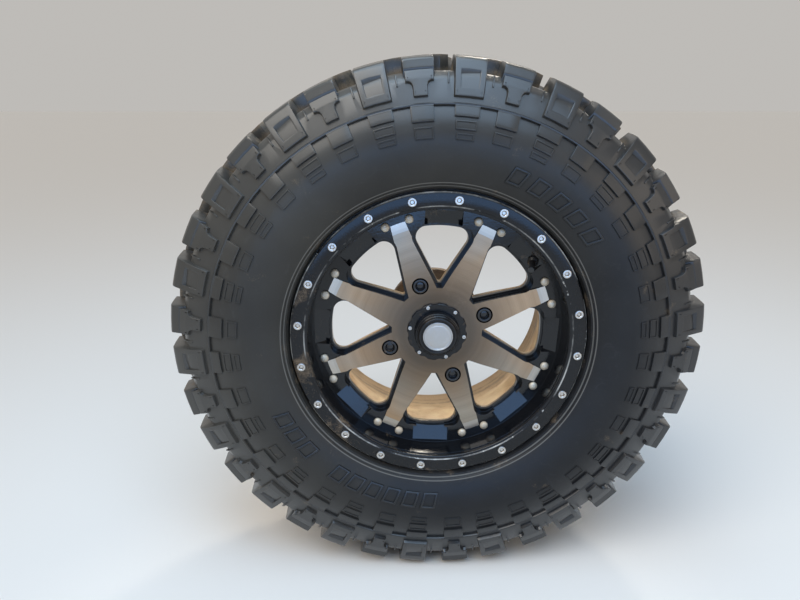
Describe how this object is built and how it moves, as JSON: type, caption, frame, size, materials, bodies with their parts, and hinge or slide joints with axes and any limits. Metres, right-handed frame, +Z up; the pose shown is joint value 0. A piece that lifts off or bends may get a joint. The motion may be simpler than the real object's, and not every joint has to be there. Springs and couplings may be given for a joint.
{
  "type": "off-road vehicle wheel on its hub",
  "caption": "Spoked alloy wheel with a bolted outer ring and a lugged off-road tyre, turning on a hub in a bolt-on bearing housing.",
  "frame": {"origin": "centre of the bearing housing's back face, where it bolts to the vehicle's knuckle", "axes": "+Y along the wheel axis towards the vehicle, so -Y faces outboard; +Z up; +X to the right as seen from outside"},
  "size_m": [0.7166, 0.245, 0.7166],
  "materials": {
    "tyre_rubber": "dusty matt rubber",
    "rim_alloy": "gloss black with smoked machined spoke faces",
    "ring_black": "gloss black paint",
    "bolt_steel": "zinc plated",
    "rivet_steel": "dusty bare metal",
    "nut_black": "black plated",
    "stud_steel": "plated steel",
    "cap_plastic": "satin black",
    "emblem_silver": "brushed silver",
    "valve_rubber": "moulded rubber",
    "hub_iron": "machined casting with dust",
    "bearing_steel": "ground steel"
  },
  "bodies": {
    "housing": {"bearing_housing": "hub_iron", "hub_bearing": "bearing_steel"},
    "wheel": {"tyre": "tyre_rubber", "rim": "rim_alloy", "beadlock_ring": "ring_black", "ring_bolts": "bolt_steel", "spoke_rivets": "rivet_steel", "lug_nuts": "nut_black", "wheel_studs": "stud_steel", "centre_cap": "cap_plastic", "cap_dome": "cap_plastic", "cap_emblem": "emblem_silver", "cap_screws": "bolt_steel", "valve_stem": "valve_rubber", "wheel_hub": "hub_iron"}
  },
  "joints": [
    {"name": "wheel_spin", "type": "hinge", "parent": "housing", "child": "wheel", "pos_m": [0, 0, 0], "axis": [0, 1, 0], "continuous": true}
  ]
}
